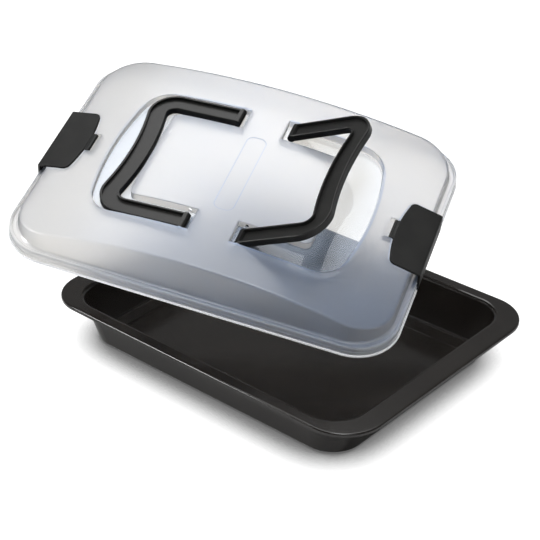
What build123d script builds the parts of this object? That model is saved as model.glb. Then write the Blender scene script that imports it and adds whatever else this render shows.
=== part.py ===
from build123d import *
import os
from math import asin, cos, degrees, radians, sin, sqrt, tan

os.makedirs("parts", exist_ok=True)

# Pan: one pressed steel sheet, a drafted tub under a flat rim.
pan_length = 405.0
pan_width = 301.0
pan_height = 49.5
sheet = 1.0
end_rim = 24.0  # flat rim beside the mouth at the short ends
side_rim = 14.0  # flat rim beside the mouth at the long sides
rim_corner = 44.0
tub_corner = 34.0  # the same round the mouth and round the floor
wall_draft = 12.5
floor_bend = 4.5  # outside radius from floor to wall
mouth_bend = 3.0  # inside radius under the rim
lip_drop = 3.5  # how far the edge of the rim is turned down
lip_bend = 1.8
panel_border = 19.0  # floor band left round the pressed centre panel
panel_drop = 1.0
panel_corner = 14.0
panel_slope = 45.0

# Lid: one moulding of thin frosted plastic.
lid_wall = 1.5
rim_gap = 1.0  # from the edge of the rim to the inside of the skirt
ledge_height = 11.0  # from the foot of the skirt to the ledge
foot_height = 2.4
foot_bulge = 0.8
step_height = 6.6  # the skirt is one step narrower above this
step_inset = 0.6
ridge_width = 4.0
ridge_height = 1.8
ridge_chamfer = 0.9
body_inset = 7.0  # from the outside of the skirt to the foot of the wall
body_corner = 45.0
body_draft = 10.5
end_height = 22.1  # crease above the foot of the skirt, at the short ends
arch_rise = 24.4
crease_bend = 2.2
wall_chamfer = 1.6  # where the wall meets the ledge
strip_length = 112.0  # bare strip between the handles
strip_width = 21.0
strip_corner = 8.0
strip_depth = 0.5

# Handles: two bails that fold down into recesses in the arched top.
handle_span = 186.6  # over both arms
handle_bar = 20.5
handle_thickness = 8.0
handle_reach = 90.0  # from the pivot to the outside of the grip, at its middle
handle_bow = 14.5  # the grip curves in towards the pivot
handle_corner = 30.0
handle_edge = 1.2
channel_rim = 2.6
channel_depth = 3.2
pivot_x = 30.0
pivot_radius = 2.0
pivot_reach = 2.6  # how far a pivot enters the side of the recess
pivot_boss = 4.4
handle_slope = 4.5
handle_raised = 33.5  # the right handle stands part way up
recess_gap = 0.8  # beside the arms
recess_floor_gap = 0.4
recess_back = 8.5
finger_gap = 20.5  # outside the grip, at its middle
recess_bulge = 13.0
recess_corner = 30.0
recess_edge = 0.5  # rounding of the recess's upper edge
island_gap = 8.0  # inside the arms
island_grip_gap = 3.0  # inside the grip, at its middle
island_corner = 8.0

# Latches: two plates hinged in the top, each with an arm and a hook.
latch_width = 89.0
latch_plate = 2.4
latch_bow = 6.2
latch_corner = 7.0
latch_inner_edge = 2.4  # from the hinge to the inner edge of the plate
latch_gap = 0.3
latch_bend = 2.5
latch_edge = 0.8
hinge_x = 164.6
hinge_depth = 1.9  # hinge axis below the top of the lid
hinge_radius = 2.1
hinge_width = 26.0
hinge_pin_radius = 1.2
hinge_pin_reach = 1.4
hinge_side_gap = 0.3
seat_depth = 1.0
seat_gap = 0.9
pocket_reach = 6.0
pocket_gap = 0.5
arm_gap = 0.3  # from the inside of the skirt to the arm
arm_foot = 1.0  # foot of the arm above the foot of the skirt
hook_reach = 4.0
hook_thickness = 3.2
notch_gap = 1.5
pin_clearance = 0.05

# Where the lid is held above the pan, and how it is turned.
lid_place = (-87.8, 23.8, 122.6)
lid_turn = (11.1, 14.0, 21.2)

mouth_length = pan_length - 2 * end_rim
mouth_width = pan_width - 2 * side_rim
wall_run = (pan_height - panel_drop) * tan(radians(wall_draft))
panel_length = mouth_length - 2 * wall_run - 2 * panel_border
panel_width = mouth_width - 2 * wall_run - 2 * panel_border
panel_inset = sheet / cos(radians(panel_slope)) - sheet * tan(radians(panel_slope))


def draw_tub(level, inset):
    """Outline of the tub at a height over the floor it stands on, drawn smaller by an inset."""
    run = (pan_height - level) * tan(radians(wall_draft)) + inset
    RectangleRounded(mouth_length - 2 * run, mouth_width - 2 * run, tub_corner - inset)


sheet_slip = sheet / cos(radians(wall_draft))
with BuildPart() as tub_hollow:
    for level in (panel_drop + sheet, pan_height + sheet):
        with BuildSketch(Plane.XY.offset(level)):
            draw_tub(level, sheet_slip)
    loft()
    fillet(tub_hollow.faces().sort_by(Axis.Z)[0].edges(), floor_bend - sheet)
    with BuildSketch(Plane.XY.offset(sheet)):
        RectangleRounded(
            panel_length - 2 * panel_inset,
            panel_width - 2 * panel_inset,
            panel_corner - panel_inset,
        )
    extrude(amount=panel_drop, taper=-panel_slope)

with BuildPart() as pan:
    for level in (panel_drop, pan_height - sheet / 2):
        with BuildSketch(Plane.XY.offset(level)):
            draw_tub(level, 0)
    loft()
    fillet(pan.faces().sort_by(Axis.Z)[0].edges(), floor_bend)
    with BuildSketch():
        RectangleRounded(panel_length, panel_width, panel_corner)
    extrude(amount=panel_drop, taper=-panel_slope)
    with BuildSketch(Plane.XY.offset(pan_height - sheet)):
        RectangleRounded(pan_length, pan_width, rim_corner)
    extrude(amount=sheet)
    rim_under = pan.faces().filter_by(Plane.XY).group_by(Axis.Z)[-2]
    fillet(rim_under.sort_by(SortBy.AREA)[-1].inner_wires()[0].edges(), mouth_bend)
    with BuildSketch(Plane.XY.offset(pan_height - lip_drop)):
        RectangleRounded(pan_length, pan_width, rim_corner)
        RectangleRounded(
            pan_length - 2 * sheet,
            pan_width - 2 * sheet,
            rim_corner - sheet,
            mode=Mode.SUBTRACT,
        )
    extrude(amount=lip_drop - sheet / 2)
    fillet(pan.faces().sort_by(Axis.Z)[-1].edges(), lip_bend)
    add(tub_hollow.part, mode=Mode.SUBTRACT)
    fillet(pan.faces().sort_by(Axis.Z)[-1].inner_wires()[0].edges(), mouth_bend + sheet)

pan.part.label = "pan"
export_step(pan.part, "parts/pan.step")

# The lid's own frame lies at the foot of its skirt, under the middle of the arch.
lid_frame = Plane(Location(lid_place, lid_turn))
lid_up = Axis(lid_frame.origin, lid_frame.z_dir)
skirt_length = pan_length + 2 * (rim_gap + lid_wall)
skirt_width = pan_width + 2 * (rim_gap + lid_wall)
skirt_corner = rim_corner + rim_gap + lid_wall
body_length = skirt_length - 2 * body_inset
body_width = skirt_width - 2 * body_inset
crown_height = end_height + arch_rise
arch_radius = ((body_length / 2) ** 2 + arch_rise**2) / (2 * arch_rise)
seat_height = ledge_height - lid_wall


def arch_height(x):
    return crown_height - arch_radius + sqrt(arch_radius**2 - x**2)


def half_frame(side):
    """The lid's frame, turned about its own upright for the left half."""
    return lid_frame.moved(Location((0, 0, 0), (0, 0, 90 - 90 * side)))


pivot_z = arch_height(pivot_x) - handle_thickness / 2
latch_slope = degrees(asin((hinge_x + pan_length / 2) / 2 / arch_radius))
hinge_z = arch_height(hinge_x) - hinge_depth


def handle_plane(side, raised):
    turn = (0, handle_slope - raised, 0)
    return half_frame(side).moved(Location((pivot_x, 0, pivot_z), turn))


def latch_plane(side):
    return half_frame(side).moved(Location((hinge_x, 0, hinge_z), (0, latch_slope, 0)))


def side_plane(side):
    return half_frame(side).moved(Location((0, 0, 0), (90, 0, 0)))


recess_half = handle_span / 2 + recess_gap
recess_depth = handle_thickness / 2 + recess_floor_gap
recess_reach = handle_reach + finger_gap
island_half = handle_span / 2 - handle_bar - island_gap
island_reach = handle_reach - handle_bar - island_grip_gap
latch_half = latch_width / 2
seat_level = hinge_depth - seat_depth
plate_low = seat_level + latch_gap
plate_high = plate_low + latch_plate
pocket_depth = hinge_radius + pocket_gap
pocket_half = hinge_width / 2 + hinge_side_gap
pocket_out = latch_inner_edge + pocket_gap


def draw_recess(sketch, grow):
    """Recess round a folded handle, with the island inside the handle left out."""
    half = recess_half + grow
    back = -recess_back - grow
    corner = recess_reach + grow - recess_bulge
    with BuildLine() as outline:
        Polyline((corner, half), (back, half), (back, -half), (corner, -half))
        ThreePointArc((corner, -half), (recess_reach + grow, 0), (corner, half))
    make_face(outline.edges())
    fillet(sketch.vertices().group_by(Axis.X)[-1], recess_corner + grow)
    island_length = 2 * (island_reach + recess_back)
    with Locations((island_reach - grow - island_length / 2, 0)):
        RectangleRounded(
            island_length,
            2 * (island_half - grow),
            island_corner - grow,
            mode=Mode.SUBTRACT,
        )


def draw_latch(sketch, grow):
    """A latch plate seen from above, running out past the end of the lid."""
    half = latch_half + grow
    inner = latch_inner_edge - grow
    outer = latch_inner_edge + pan_length / 2 - hinge_x + end_height
    with BuildLine() as outline:
        Polyline((inner + latch_bow, half), (outer, half), (outer, -half), (inner + latch_bow, -half))
        ThreePointArc((inner + latch_bow, -half), (inner, 0), (inner + latch_bow, half))
    make_face(outline.edges())
    fillet(sketch.vertices().group_by(Axis.X)[0], latch_corner + grow)


def draw_pocket(grow):
    """Pocket for the knuckle of a latch."""
    with Locations(((pocket_out - pocket_reach) / 2, 0)):
        RectangleRounded(
            pocket_out + pocket_reach + 2 * grow,
            2 * (pocket_half + grow),
            pocket_gap + grow,
        )


def draw_arch(drop):
    """Everything under the arch of the top, in the lid's side view."""
    half = skirt_length / 2
    with BuildLine() as outline:
        Polyline(
            (half, arch_height(half) - drop),
            (half, -ledge_height),
            (-half, -ledge_height),
            (-half, arch_height(half) - drop),
        )
        ThreePointArc(
            (-half, arch_height(half) - drop),
            (0, crown_height - drop),
            (half, arch_height(half) - drop),
        )
    make_face(outline.edges())


# Inside of the lid, less everything that stands into it.
wall_slip = lid_wall / cos(radians(body_draft))
with BuildPart() as lid_hollow:
    with BuildSketch(lid_frame):
        RectangleRounded(
            body_length - 2 * wall_slip + 2 * ledge_height * tan(radians(body_draft)),
            body_width - 2 * wall_slip + 2 * ledge_height * tan(radians(body_draft)),
            body_corner,
        )
    extrude(amount=crown_height + ledge_height, taper=body_draft)
    with BuildSketch(side_plane(1)):
        draw_arch(lid_wall)
    extrude(amount=skirt_width, both=True, mode=Mode.INTERSECT)
    fillet(lid_hollow.faces().sort_by(lid_up)[-1].edges(), crease_bend - lid_wall / 2)
    with BuildSketch(lid_frame.offset(-ledge_height)):
        RectangleRounded(
            skirt_length - 2 * lid_wall,
            skirt_width - 2 * lid_wall,
            skirt_corner - lid_wall,
        )
    extrude(amount=ledge_height + seat_height)
    for side in (-1, 1):
        recess_under = handle_plane(side, 0).offset(-recess_depth - lid_wall)
        with BuildSketch(recess_under) as recess_boss:
            draw_recess(recess_boss, lid_wall)
        extrude(amount=crown_height, mode=Mode.SUBTRACT)
        with BuildSketch(latch_plane(side).offset(seat_level - lid_wall)) as seat_boss:
            draw_latch(seat_boss, seat_gap + lid_wall)
        extrude(amount=end_height, mode=Mode.SUBTRACT)
        with BuildSketch(latch_plane(side).offset(-pocket_depth - lid_wall)):
            draw_pocket(lid_wall)
        extrude(amount=end_height, mode=Mode.SUBTRACT)

with BuildPart() as lid:
    with BuildSketch(lid_frame.offset(seat_height)):
        RectangleRounded(
            body_length + 2 * lid_wall * tan(radians(body_draft)),
            body_width + 2 * lid_wall * tan(radians(body_draft)),
            body_corner,
        )
    extrude(amount=crown_height, taper=body_draft)
    with BuildSketch(side_plane(1)):
        draw_arch(0)
    extrude(amount=skirt_width, both=True, mode=Mode.INTERSECT)
    fillet(lid.faces().sort_by(lid_up)[-1].edges(), crease_bend)
    with BuildSketch(lid_frame):
        RectangleRounded(skirt_length, skirt_width, skirt_corner)
    extrude(amount=step_height)
    with BuildSketch(lid_frame):
        RectangleRounded(
            skirt_length - 2 * step_inset,
            skirt_width - 2 * step_inset,
            skirt_corner - step_inset,
        )
    extrude(amount=ledge_height)
    ledge = lid.faces().filter_by(lid_frame).sort_by(lid_up)[-1]
    chamfer(ledge.inner_wires()[0].edges(), wall_chamfer)
    with BuildSketch(lid_frame):
        RectangleRounded(
            skirt_length + 2 * foot_bulge,
            skirt_width + 2 * foot_bulge,
            skirt_corner + foot_bulge,
        )
    extrude(amount=foot_height)
    with BuildSketch(lid_frame.offset(ledge_height)):
        RectangleRounded(
            skirt_length - 2 * step_inset,
            skirt_width - 2 * step_inset,
            skirt_corner - step_inset,
        )
        RectangleRounded(
            skirt_length - 2 * ridge_width,
            skirt_width - 2 * ridge_width,
            skirt_corner - ridge_width,
            mode=Mode.SUBTRACT,
        )
    extrude(amount=ridge_height)
    ridge_top = lid.faces().filter_by(lid_frame).group_by(lid_up)[-1]
    chamfer(ridge_top.edges(), ridge_chamfer)
    for side in (-1, 1):
        with BuildSketch(handle_plane(side, 0).offset(-recess_depth)) as recess:
            draw_recess(recess, 0)
        extrude(amount=crown_height, mode=Mode.SUBTRACT)
    top = lid.faces().filter_by(GeomType.CYLINDER).sort_by(SortBy.AREA)[-1]
    fillet([edge for wire in top.inner_wires() for edge in wire.edges()], recess_edge)
    for side in (-1, 1):
        with BuildSketch(latch_plane(side).offset(seat_level)) as seat:
            draw_latch(seat, seat_gap)
        extrude(amount=end_height, mode=Mode.SUBTRACT)
        with BuildSketch(latch_plane(side).offset(-pocket_depth)):
            draw_pocket(0)
        extrude(amount=end_height, mode=Mode.SUBTRACT)
    add(lid_hollow.part, mode=Mode.SUBTRACT)
    with BuildSketch(lid_frame.offset(crown_height - strip_depth)):
        RectangleRounded(strip_width, strip_length, strip_corner)
    extrude(amount=crown_height, mode=Mode.SUBTRACT)
    for side in (-1, 1):
        with BuildSketch(half_frame(side).offset(-ledge_height)):
            with Locations((pan_length / 2 + rim_gap + body_inset, 0)):
                Rectangle(2 * body_inset, latch_width + 2 * notch_gap)
        extrude(amount=2 * ledge_height + 2 * ridge_height, mode=Mode.SUBTRACT)
        with BuildSketch(side_plane(side).offset(recess_half)):
            with Locations((pivot_x, pivot_z)):
                Circle(pivot_boss)
        extrude(amount=pivot_reach + pin_clearance)
        with BuildSketch(side_plane(side).offset(-recess_half)):
            with Locations((pivot_x, pivot_z)):
                Circle(pivot_boss)
        extrude(amount=-pivot_reach - pin_clearance)
        with BuildSketch(side_plane(side)):
            with Locations((pivot_x, pivot_z)):
                Circle(pivot_radius + pin_clearance)
        extrude(amount=recess_half + 2 * pivot_reach, both=True, mode=Mode.SUBTRACT)
        with BuildSketch(side_plane(side)):
            with Locations((hinge_x, hinge_z)):
                Circle(hinge_pin_radius + pin_clearance)
        extrude(amount=pocket_half + 2 * lid_wall, both=True, mode=Mode.SUBTRACT)

lid.part.label = "lid"
export_step(lid.part, "parts/lid.step")

grip_radius = ((handle_span / 2) ** 2 + handle_bow**2) / (2 * handle_bow)


def grip_outline(inset, start):
    """A handle seen from above, inset from its outer edge, its arms cut off at start."""
    half = handle_span / 2 - inset
    radius = grip_radius + inset
    middle = handle_reach - inset
    reach = middle + radius - sqrt(radius**2 - half**2)
    with BuildSketch() as sketch:
        with BuildLine() as outline:
            Polyline((reach, half), (start, half), (start, -half), (reach, -half))
            ThreePointArc((reach, -half), (middle, 0), (reach, half))
        make_face(outline.edges())
        fillet(sketch.vertices().group_by(Axis.X)[-1], handle_corner - inset)
    return sketch.sketch


grip_outside = grip_outline(0, 0)
grip_opening = grip_outline(handle_bar, -handle_bar)
channel_outside = grip_outline(channel_rim, channel_rim)
channel_opening = grip_outline(handle_bar - channel_rim, -handle_bar)
for name, side, raised in (("left", -1, 0), ("right", 1, handle_raised)):
    bail = handle_plane(side, raised)
    with BuildPart(bail) as handle:
        with BuildSketch(bail.offset(-handle_thickness / 2)):
            add(grip_outside)
            add(grip_opening, mode=Mode.SUBTRACT)
        extrude(amount=handle_thickness)
        outwards = Axis(bail.origin, bail.x_dir)
        rounds = handle.faces().filter_by(bail).edges().sort_by(outwards)
        fillet(rounds.filter_by_position(outwards, handle_edge, handle_span), handle_edge)
        with BuildSketch(bail.offset(handle_thickness / 2 - channel_depth)):
            add(channel_outside)
            add(channel_opening, mode=Mode.SUBTRACT)
        extrude(amount=handle_thickness, mode=Mode.SUBTRACT)
        arm_middle = (handle_span - handle_bar) / 2
        with Locations((0, -arm_middle, 0), (0, arm_middle, 0)):
            Cylinder(handle_thickness / 2, handle_bar, rotation=(90, 0, 0))
        pivot_length = recess_gap + pivot_reach
        pivot_middle = (handle_span + pivot_length) / 2
        with Locations((0, -pivot_middle, 0), (0, pivot_middle, 0)):
            Cylinder(pivot_radius, pivot_length, rotation=(90, 0, 0))
    handle.part.label = f"handle_{name}"
    export_step(handle.part, f"parts/handle_{name}.step")


def on_plate(along, level):
    """Point of the sloping plate in the lid's side view, from the hinge outwards."""
    slope = radians(latch_slope)
    return (
        hinge_x + along * cos(slope) + level * sin(slope),
        hinge_z - along * sin(slope) + level * cos(slope),
    )


def plate_over(x, level):
    """Point of the sloping plate at a distance x from the lid's middle."""
    slope = radians(latch_slope)
    return on_plate((x - hinge_x - level * sin(slope)) / cos(slope), level)


arm_inner = pan_length / 2 + rim_gap + arm_gap
arm_outer = arm_inner + latch_plate
hook_tip = pan_length / 2 - hook_reach
hook_top = seat_height - lip_drop - latch_gap
neck = latch_inner_edge + latch_plate
for name, side in (("left", -1), ("right", 1)):
    seat_plane = latch_plane(side)
    up = Axis(seat_plane.origin, seat_plane.z_dir)
    outwards = Axis(seat_plane.origin, seat_plane.x_dir)
    with BuildPart(seat_plane) as latch:
        with BuildSketch(side_plane(side)) as profile:
            with BuildLine():
                Polyline(
                    on_plate(0, plate_low),
                    plate_over(arm_inner, plate_low),
                    (arm_inner, hook_top),
                    (hook_tip, hook_top),
                    (hook_tip, hook_top - hook_thickness / 2),
                    (arm_inner, arm_foot),
                    (arm_outer, arm_foot),
                    plate_over(arm_outer, plate_high),
                    on_plate(0, plate_high),
                    close=True,
                )
            make_face()
            fillet(profile.vertices().group_by(Axis.X)[-1].sort_by(Axis.Y)[-1], latch_bend)
        extrude(amount=latch_half, both=True)
        with BuildSketch(seat_plane.offset(-2 * end_height)) as plate:
            draw_latch(plate, 0)
        extrude(amount=3 * end_height, mode=Mode.INTERSECT)
        top = latch.faces().filter_by(seat_plane).sort_by(up)[-1]
        fillet(top.edges().sort_by(outwards)[:-1], latch_edge)
        with BuildSketch(side_plane(side)):
            with Locations((hinge_x, hinge_z)):
                Circle(hinge_radius)
            with BuildLine():
                Polyline(
                    on_plate(neck, plate_high - latch_edge),
                    on_plate(latch_inner_edge, plate_high - latch_edge),
                    on_plate(-hinge_radius, 0),
                    on_plate(0, -hinge_radius / 2),
                    on_plate(hinge_radius, 0),
                    on_plate(latch_inner_edge, plate_low),
                    on_plate(neck, plate_low),
                    close=True,
                )
            make_face()
        extrude(amount=hinge_width / 2, both=True)
        pin_length = hinge_side_gap + hinge_pin_reach
        pin_middle = (hinge_width + pin_length) / 2
        with Locations((0, -pin_middle, 0), (0, pin_middle, 0)):
            Cylinder(hinge_pin_radius, pin_length, rotation=(90, 0, 0))
    latch.part.label = f"latch_{name}"
    export_step(latch.part, f"parts/latch_{name}.step")

for name, side in (("left", -1), ("right", 1)):
    for piece, hinge in (("handle", handle_plane(side, 0)), ("latch", latch_plane(side))):
        print(f"{piece}_{name} hinge at {hinge.origin} mm, along {hinge.y_dir}")
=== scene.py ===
import math

import bpy
from mathutils import Matrix, Vector

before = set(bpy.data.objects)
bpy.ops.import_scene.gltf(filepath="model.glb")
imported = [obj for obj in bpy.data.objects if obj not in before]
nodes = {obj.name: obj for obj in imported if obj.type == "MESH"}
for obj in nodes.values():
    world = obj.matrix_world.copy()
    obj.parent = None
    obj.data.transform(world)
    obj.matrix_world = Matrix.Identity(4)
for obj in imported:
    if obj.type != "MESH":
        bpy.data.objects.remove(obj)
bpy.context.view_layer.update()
print("frame loaded:", ", ".join(sorted(nodes)))


class Wire:
    # One output socket of a shader tree, which can be used in sums.
    def __init__(self, paint, socket):
        self.paint = paint
        self.socket = socket

    def __add__(self, other):
        return self.paint.sum("ADD", self, other)

    def __radd__(self, other):
        return self.paint.sum("ADD", other, self)

    def __sub__(self, other):
        return self.paint.sum("SUBTRACT", self, other)

    def __rsub__(self, other):
        return self.paint.sum("SUBTRACT", other, self)

    def __mul__(self, other):
        return self.paint.sum("MULTIPLY", self, other)

    def __rmul__(self, other):
        return self.paint.sum("MULTIPLY", other, self)

    def __pow__(self, other):
        return self.paint.sum("POWER", self, other)

    def __rpow__(self, other):
        return self.paint.sum("POWER", other, self)

    def __abs__(self):
        return self.paint.sum("ABSOLUTE", self)


class Paint:
    # The node tree of a material or of the world.
    def __init__(self, owner):
        owner.use_nodes = True
        self.owner = owner
        self.tree = owner.node_tree
        self.tree.nodes.clear()

    def node(self, kind, settings=None, inputs=None, output=0):
        made = self.tree.nodes.new(kind)
        for name, setting in (settings or {}).items():
            setattr(made, name, setting)
        for name, value in (inputs or {}).items():
            if isinstance(value, Wire):
                self.tree.links.new(value.socket, made.inputs[name])
            else:
                made.inputs[name].default_value = value
        return Wire(self, made.outputs[output]) if len(made.outputs) else made

    def sum(self, operation, *values):
        return self.node("ShaderNodeMath", {"operation": operation}, dict(enumerate(values)))

    def arrow(self, operation, first, second, output):
        inputs = {0: first, 1: second}
        return self.node("ShaderNodeVectorMath", {"operation": operation}, inputs, output)

    def place(self):
        return self.node("ShaderNodeTexCoord", output="Object")

    def noise(self, size, detail, rough=0.55):
        inputs = {"Vector": self.place(), "Scale": 1 / size, "Detail": detail, "Roughness": rough}
        return self.node("ShaderNodeTexNoise", None, inputs)

    def most(self, first, second):
        return self.sum("MAXIMUM", first, second)

    def over(self, first, second):
        # how far a spot lies beyond two lines, round the corner where they meet
        return (self.most(first, 0) ** 2 + self.most(second, 0) ** 2) ** 0.5

    def step(self, value, low, high):
        # 0 below low and 1 above high; the other way round when low is the larger
        inputs = {"Value": value, "From Min": low, "From Max": high}
        return self.node("ShaderNodeMapRange", {"interpolation_type": "SMOOTHSTEP"}, inputs)

    def line(self, distance, width):
        # 1 on a line and 0 beside it; width says how far it is full and where it has faded
        full, faded = width
        return self.step(abs(distance), faded, full)

    def shift(self, mask, first, second):
        # a number that goes from the first to the second as the mask goes from 0 to 1
        return first + mask * (second - first)

    def blend(self, mask, first, second):
        inputs = {0: mask, 6: first, 7: second}
        return self.node("ShaderNodeMix", {"data_type": "RGBA"}, inputs, 2)

    def bump(self, height, depth):
        inputs = {"Height": height, "Strength": 1.0, "Distance": depth}
        return self.node("ShaderNodeBump", None, inputs)

    def principled(self, inputs):
        return self.node("ShaderNodeBsdfPrincipled", None, inputs)

    def light(self, kind, strength):
        return self.node(kind, None, {"Strength": strength})

    def mix(self, share, first, second):
        return self.node("ShaderNodeMixShader", None, {0: share, 1: first, 2: second})

    def ray(self, question):
        # what the ray is, or how many turns it has made
        return self.node("ShaderNodeLightPath", output=question)

    def turns(self, question, count):
        # 1 for a ray that has made this number of turns, 0 for any other
        return self.step(abs(self.ray(question) - count), 0.75, 0.25)

    def finish(self, shader):
        kind = "World" if isinstance(self.owner, bpy.types.World) else "Material"
        self.node("ShaderNodeOutput" + kind, None, {"Surface": shader})
        return self.owner


def newPaint(name):
    return Paint(bpy.data.materials.new(name))


def colour(red, green, blue):
    return (red, green, blue, 1.0)


def mirrored(paint):
    # after one reflection; a ray thrown to and fro inside the plastic has made two
    return paint.turns("Glossy Depth", 1)


def dress(node, material):
    nodes[node].data.materials.clear()
    nodes[node].data.materials.append(material)


# The lid in its own frame, as the CAD has it: from the foot of its skirt, under the middle of
# the arch. An outline has its reach along the lid, half its width across, the radius of its
# corners and the bow of its end. A line, where a highlight is painted, has its full half width,
# and where it has faded.
lidShape = {
    "place": (-0.0878, 0.0238, 0.1226),
    "turn": (11.1, 14.0, 21.2),
    "wall": 0.0015,
    "foot": 0.0012,
    "footFade": 0.0002,
    "pivotAlong": 0.030,
    "pivotHeight": 0.04195,
    "recess": {
        "reach": 0.1405,
        "half": 0.0941,
        "corner": 0.030,
        "bow": 0.013,
        "slope": 4.5,
        "depth": 0.0044,
        "floorEdge": (0.8, 0.6),  # in wall thicknesses from the middle of the floor
        "border": 0.0025,
        "line": (0.0012, 0.0018),
        "start": 0.0215,
        "fade": 0.0005,
    },
    "seat": {
        "reach": 0.1661,
        "half": 0.0454,
        "corner": 0.0079,
        "bow": 0.0062,
        "line": (0.0004, 0.0009),
        "start": 0.018,
        "fade": 0.001,
    },
    "strip": {
        "reach": 0.0105,
        "half": 0.056,
        "corner": 0.008,
        "line": (0.0004, 0.0008),
        "start": 0.030,
        "fade": 0.001,
    },
}


def lidPlace(paint):
    # distances along, across and above the foot of the lid
    turn = Matrix.Identity(3)
    for axis, angle in zip("XYZ", lidShape["turn"]):
        turn = turn @ Matrix.Rotation(math.radians(angle), 3, axis)
    away = paint.arrow("SUBTRACT", paint.place(), lidShape["place"], "Vector")
    return [paint.arrow("DOT_PRODUCT", away, side, "Value") for side in turn.transposed()]


def bulge(sideways, outline):
    # how far the bowed end has moved at this distance from the middle
    return (sideways * (1 / outline["half"])) ** 2 * outline["bow"]


def beyondOutline(paint, beyondEnd, sideways, outline):
    # how far a spot lies beyond an outline with round corners
    corner = outline["corner"]
    return paint.over(beyondEnd + corner, sideways - (outline["half"] - corner)) - corner


def startAt(paint, distance, outline):
    # 0 before the start of an outline's line and 1 beyond it
    return paint.step(distance, outline["start"], outline["start"] + outline["fade"])


def recessMasks(paint, outwards, sideways, height):
    # the clear floors of the two recesses, and the line round them where a highlight is painted
    recess = lidShape["recess"]
    wall = lidShape["wall"]
    slope = math.radians(recess["slope"])
    overPivot = (height - lidShape["pivotHeight"]) * math.cos(slope)
    aboveRecess = overPivot + (outwards - lidShape["pivotAlong"]) * math.sin(slope)
    offFloor = abs(aboveRecess + (recess["depth"] + wall / 2))
    inFloor = paint.step(offFloor, *[wall * share for share in recess["floorEdge"]])
    beyondEnd = outwards + bulge(sideways, recess) - recess["reach"]
    beyond = beyondOutline(paint, beyondEnd, sideways, recess)
    clear = inFloor * paint.step(beyond, recess["fade"], -recess["fade"])
    border = paint.line(beyond - recess["border"] / 2, recess["line"]) * (1 - inFloor)
    return clear, border * startAt(paint, outwards, recess)


def seatMask(paint, outwards, sideways, height):
    # the edge of the seat round each latch, open towards the lid's end, where a highlight is
    # painted
    seat = lidShape["seat"]
    beyondEnd = seat["reach"] + bulge(sideways, seat) - outwards
    beyond = beyondOutline(paint, beyondEnd, sideways, seat)
    return paint.line(beyond, seat["line"]) * startAt(paint, height, seat)


def stripMask(paint, outwards, sideways, height):
    # the edge of the bare strip between the handles, where a highlight is painted
    strip = lidShape["strip"]
    beyond = beyondOutline(paint, outwards - strip["reach"], sideways, strip)
    return paint.line(beyond, strip["line"]) * startAt(paint, height, strip)


lidLook = {
    "milk": colour(0.33, 0.53, 0.93),
    "milkShare": 0.11,
    "clearMilk": colour(0.55, 0.66, 0.84),
    "clearMilkShare": 0.3,
    "leftPaintedShade": colour(0.48, 0.54, 0.65),
    "leftPaintedShadeShare": 0.11,
    "paintedEdgeHighlight": colour(0.92, 0.94, 0.97),
    "paintedEdgeHighlightShare": 0.9,
    "milkRough": 0.4,
    "cloud": {"size": 0.05, "detail": 2.0},
    "cloudShare": 0.05,
    "borderShare": 0.35,
    "seatShare": 0.7,
    "stripShare": 0.4,
    "footPaintedGlow": colour(0.2, 0.2, 0.2),
    "refraction": 1.49,
    "gleam": 0.14,
    "coatShare": 0.6,
    "clearCoatShare": 0.1,
    "coatBlur": 0.16,
    "tint": colour(1.0, 0.962, 0.895),
    "clearTint": colour(1.0, 0.96, 0.88),
    "blur": 0.36,
    "clearBlur": 0.04,
    "hazeShare": 0.3,
    "hazeBlur": 0.9,
    "mirrorShade": 0.65,
    "lampShare": 0.8,
    "grain": {"size": 0.0006, "detail": 2.0},
    "grainDepth": 0.00003,
}


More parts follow.
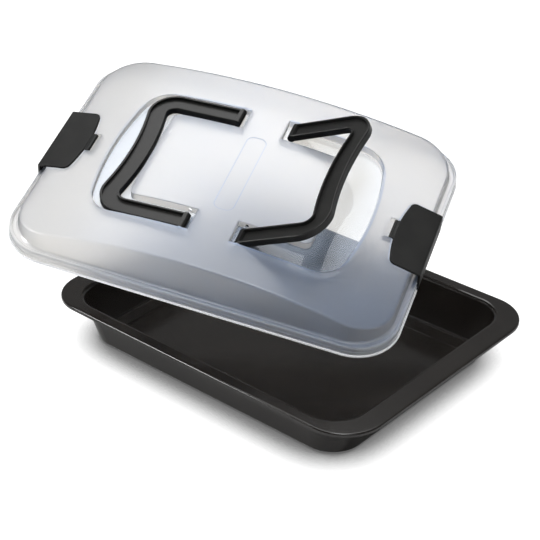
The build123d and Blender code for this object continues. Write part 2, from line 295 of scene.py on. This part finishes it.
def makeLidPlastic():
    look = lidLook
    paint = newPaint("frostedPlastic")
    along, across, height = lidPlace(paint)
    outwards, sideways = abs(along), abs(across)
    clear, border = recessMasks(paint, outwards, sideways, height)
    seat = seatMask(paint, outwards, sideways, height)
    strip = stripMask(paint, outwards, sideways, height)
    # painted highlights: white lines round the recesses, the latch seats and the bare strip, and
    # along the foot of the skirt
    footFade = lidShape["footFade"]
    foot = paint.step(height, lidShape["foot"] + footFade, lidShape["foot"] - footFade)
    edge = paint.most(
        paint.most(border * look["borderShare"], seat * look["seatShare"]),
        paint.most(strip * look["stripShare"], foot),
    )
    # milk is the white in the plastic; the painted highlights whiten it along those lines
    # painted shade: towards its left end the lid is greyed by a darker milk
    leftShadeMask = paint.step(along, lidShape["pivotAlong"], -lidShape["seat"]["reach"])
    cloud = paint.noise(**look["cloud"]) - 0.5
    milkShare = look["milkShare"] + cloud * look["cloudShare"] + leftShadeMask * look["leftPaintedShadeShare"]
    milkShare = milkShare + clear * (look["clearMilkShare"] - look["milkShare"])
    milkShare = milkShare + edge * (look["paintedEdgeHighlightShare"] - look["milkShare"])
    milk = paint.blend(leftShadeMask, look["milk"], look["leftPaintedShade"])
    milk = paint.blend(clear, milk, look["clearMilk"])
    milk = paint.blend(edge, milk, look["paintedEdgeHighlight"])
    grain = paint.bump(paint.noise(**look["grain"]) * (1 - clear), look["grainDepth"])
    skin = {
        "IOR": look["refraction"],
        "Coat Weight": paint.shift(clear, look["coatShare"], look["clearCoatShare"]),
        "Coat Roughness": look["coatBlur"],
    }
    through = paint.principled({
        **skin,
        "Base Color": paint.blend(clear, look["tint"], look["clearTint"]),
        "Specular IOR Level": look["gleam"],
        "Roughness": paint.shift(clear, look["blur"], look["clearBlur"]),
        "Transmission Weight": 1.0,
        "Normal": grain,
    })
    frost = paint.principled({
        **skin,
        "Base Color": milk,
        "Roughness": look["milkRough"],
        # painted highlight: the foot of the skirt glows
        "Emission Color": paint.blend(foot, colour(0, 0, 0), look["footPaintedGlow"]),
        "Emission Strength": 1.0,
        "Normal": grain,
    })
    haze = paint.principled({
        **skin,
        "Base Color": look["tint"],
        "Specular IOR Level": look["gleam"],
        "Roughness": look["hazeBlur"],
        "Transmission Weight": 1.0,
    })
    body = paint.mix((1 - clear) * look["hazeShare"], through, haze)
    body = paint.mix(milkShare, body, frost)
    # painted shade: in the pan's reflections the lid is darkened towards black; lamps shine
    # through it
    paintedShadeBlack = paint.node("ShaderNodeBsdfDiffuse", None, {"Color": colour(0, 0, 0)})
    body = paint.mix(mirrored(paint) * look["mirrorShade"], body, paintedShadeBlack)
    gap = paint.node("ShaderNodeBsdfTransparent")
    return paint.finish(paint.mix(paint.ray("Is Shadow Ray") * look["lampShare"], body, gap))


dress("lid", makeLidPlastic())
print("lid dressed in frosted plastic")


panLook = {
    "coating": colour(0.0090, 0.0074, 0.0062),
    "worn": colour(0.0150, 0.0126, 0.0108),
    "tone": (0.42, 0.62),
    "rough": 0.15,
    "roughSpread": 0.08,
    "refraction": 1.58,
    "speckle": {"size": 0.0009, "detail": 4.0, "rough": 0.6},
    "speckleShare": 0.5,
    "speckleDepth": 0.000015,
    "cloud": {"size": 0.09, "detail": 2.0},
}


def makePanCoating():
    look = panLook
    paint = newPaint("nonStickCoating")
    speckle = paint.noise(**look["speckle"])
    cloud = paint.noise(**look["cloud"])
    share = look["speckleShare"]
    tone = paint.step(speckle * share + cloud * (1 - share), *look["tone"])
    shader = paint.principled({
        "Base Color": paint.blend(tone, look["coating"], look["worn"]),
        "Roughness": look["rough"] + (speckle - 0.5) * look["roughSpread"],
        "IOR": look["refraction"],
        "Normal": paint.bump(speckle, look["speckleDepth"]),
    })
    return paint.finish(shader)


dress("pan", makePanCoating())
print("pan dressed in non-stick coating")


blackLook = {
    "black": colour(0.0070, 0.0070, 0.0066),
    "scuffed": colour(0.0125, 0.0125, 0.0115),
    "tone": (0.4, 0.7),
    "handleRough": 0.38,
    "latchRough": 0.5,
    "roughSpread": 0.1,
    "refraction": 1.5,
    "smudge": {"size": 0.03, "detail": 3.0},
    "grain": {"size": 0.00045, "detail": 3.0},
    "grainDepth": 0.00003,
}


def makeBlackPlastic(name, rough):
    look = blackLook
    paint = newPaint(name)
    smudge = paint.noise(**look["smudge"])
    tone = paint.step(smudge, *look["tone"])
    shader = paint.principled({
        "Base Color": paint.blend(tone, look["black"], look["scuffed"]),
        "Roughness": rough + (smudge - 0.5) * look["roughSpread"],
        "IOR": look["refraction"],
        "Normal": paint.bump(paint.noise(**look["grain"]), look["grainDepth"]),
    })
    return paint.finish(shader)


handlePlastic = makeBlackPlastic("handlePlastic", blackLook["handleRough"])
latchPlastic = makeBlackPlastic("latchPlastic", blackLook["latchRough"])
for side in ("left", "right"):
    dress("handle_" + side, handlePlastic)
    dress("latch_" + side, latchPlastic)
print("handles and latches dressed in black plastic")


studio = {
    "floorSize": 8.0,
    "floorHeight": -0.0002,
    "floorWhite": 0.86,
    "contactShade": 0.13,
    "contactReach": 0.047,
    "contactFade": (0.35, 0.97),
    "contactSamples": 8,
    "backdrop": 1.26,
    "throughWall": 1.02,
    "throughTwoWalls": 1.68,
    "twoWallTurns": (2.25, 3.75),
    "daylight": 0.38,
    "mirroredLow": 0.32,
    "mirroredHigh": 0.1,
    "mirroredFade": (0.5, 0.75),
    "lampAim": (-0.04, 0.03, 0.08),
    "lamps": {
        "softbox": {"place": (-0.84, 1.02, 2.24), "size": 1.6, "power": 17.0},
        "overhead": {"place": (0.2, -0.3, 2.4), "size": 0.9, "power": 18.0},
        "sidebox": {"place": (-1.25, -1.3, 1.15), "size": 0.5, "power": 16.0},
        "fill": {"place": (1.6, -1.2, 1.6), "size": 1.4, "power": 3.0},
    },
}


def seenByCamera(paint):
    # 1 for what the camera sees itself or through the plastic, 0 for what is mirrored or lit
    straight = paint.ray("Is Camera Ray") + paint.ray("Is Transmission Ray")
    return straight * (1 - mirrored(paint)) * paint.turns("Diffuse Depth", 0)


def throughPlastic(paint, kind, plain):
    # the lid's walls take light away, two more than one, so the backdrop is brighter behind them
    oneWall = paint.light(kind, studio["backdrop"] * studio["throughWall"])
    twoWalls = paint.light(kind, studio["backdrop"] * studio["throughTwoWalls"])
    seen = paint.mix(paint.ray("Is Transmission Ray"), plain, oneWall)
    secondWall = paint.step(paint.ray("Transmission Depth"), *studio["twoWallTurns"])
    return paint.mix(secondWall, seen, twoWalls)


def makeFloor():
    place = (0, 0, studio["floorHeight"])
    bpy.ops.mesh.primitive_plane_add(size=studio["floorSize"], location=place)
    floor = bpy.context.object
    floor.name = "floor"
    paint = newPaint("paleFloor")
    kind = "ShaderNodeEmission"
    white = studio["floorWhite"]
    matt = paint.node("ShaderNodeBsdfDiffuse", None, {"Color": colour(white, white, white)})
    # painted contact shadow: near the pan the floor's glow drops from the backdrop to the contact
    # shade
    openness = paint.node(
        "ShaderNodeAmbientOcclusion",
        {"samples": studio["contactSamples"]},
        {"Distance": studio["contactReach"]},
        "AO",
    )
    shaded = paint.light(kind, studio["contactShade"])
    plain = paint.light(kind, studio["backdrop"])
    plain = paint.mix(paint.step(openness, *studio["contactFade"]), shaded, plain)
    glow = throughPlastic(paint, kind, plain)
    floor.data.materials.append(paint.finish(paint.mix(seenByCamera(paint), matt, glow)))


def makeWorld():
    world = bpy.data.worlds.new("studioWorld")
    bpy.context.scene.world = world
    paint = Paint(world)
    kind = "ShaderNodeBackground"
    upwards = paint.node("ShaderNodeSeparateXYZ", None, {"Vector": paint.place()}, "Z")
    low = paint.light(kind, studio["mirroredLow"])
    high = paint.light(kind, studio["mirroredHigh"])
    sheen = paint.mix(paint.step(upwards, *studio["mirroredFade"]), low, high)
    daylight = paint.light(kind, studio["daylight"])
    plain = paint.mix(paint.ray("Is Glossy Ray"), daylight, sheen)
    backdrop = throughPlastic(paint, kind, paint.light(kind, studio["backdrop"]))
    paint.finish(paint.mix(seenByCamera(paint), plain, backdrop))


def addLamp(name, look):
    data = bpy.data.lights.new(name, "AREA")
    data.shape = "DISK"
    data.size = look["size"]
    data.energy = look["power"]
    lamp = bpy.data.objects.new(name, data)
    lamp.location = look["place"]
    towards = Vector(studio["lampAim"]) - lamp.location
    lamp.rotation_euler = towards.to_track_quat("-Z", "Y").to_euler()
    bpy.context.scene.collection.objects.link(lamp)


makeFloor()
makeWorld()
for name, look in studio["lamps"].items():
    addLamp(name, look)
print("studio lit")


photoCamera = {
    "place": (0.88443, -1.04750, 0.87432),
    "forward": (-0.56821, 0.65548, -0.49748),
    "roll": 0.145,
    "lens": 104.44,
    "sensor": 36.0,
}


def makeCamera():
    look = photoCamera
    data = bpy.data.cameras.new("photoCamera")
    data.lens = look["lens"]
    data.sensor_width = look["sensor"]
    camera = bpy.data.objects.new("photoCamera", data)
    bpy.context.scene.collection.objects.link(camera)
    facing = Vector(look["forward"]).to_track_quat("-Z", "Y").to_matrix()
    turn = facing @ Matrix.Rotation(math.radians(look["roll"]), 3, "Z")
    camera.matrix_world = Matrix.Translation(look["place"]) @ turn.to_4x4()
    bpy.context.scene.camera = camera


makeCamera()
bpy.context.scene.view_settings.view_transform = "Standard"
print("camera placed")
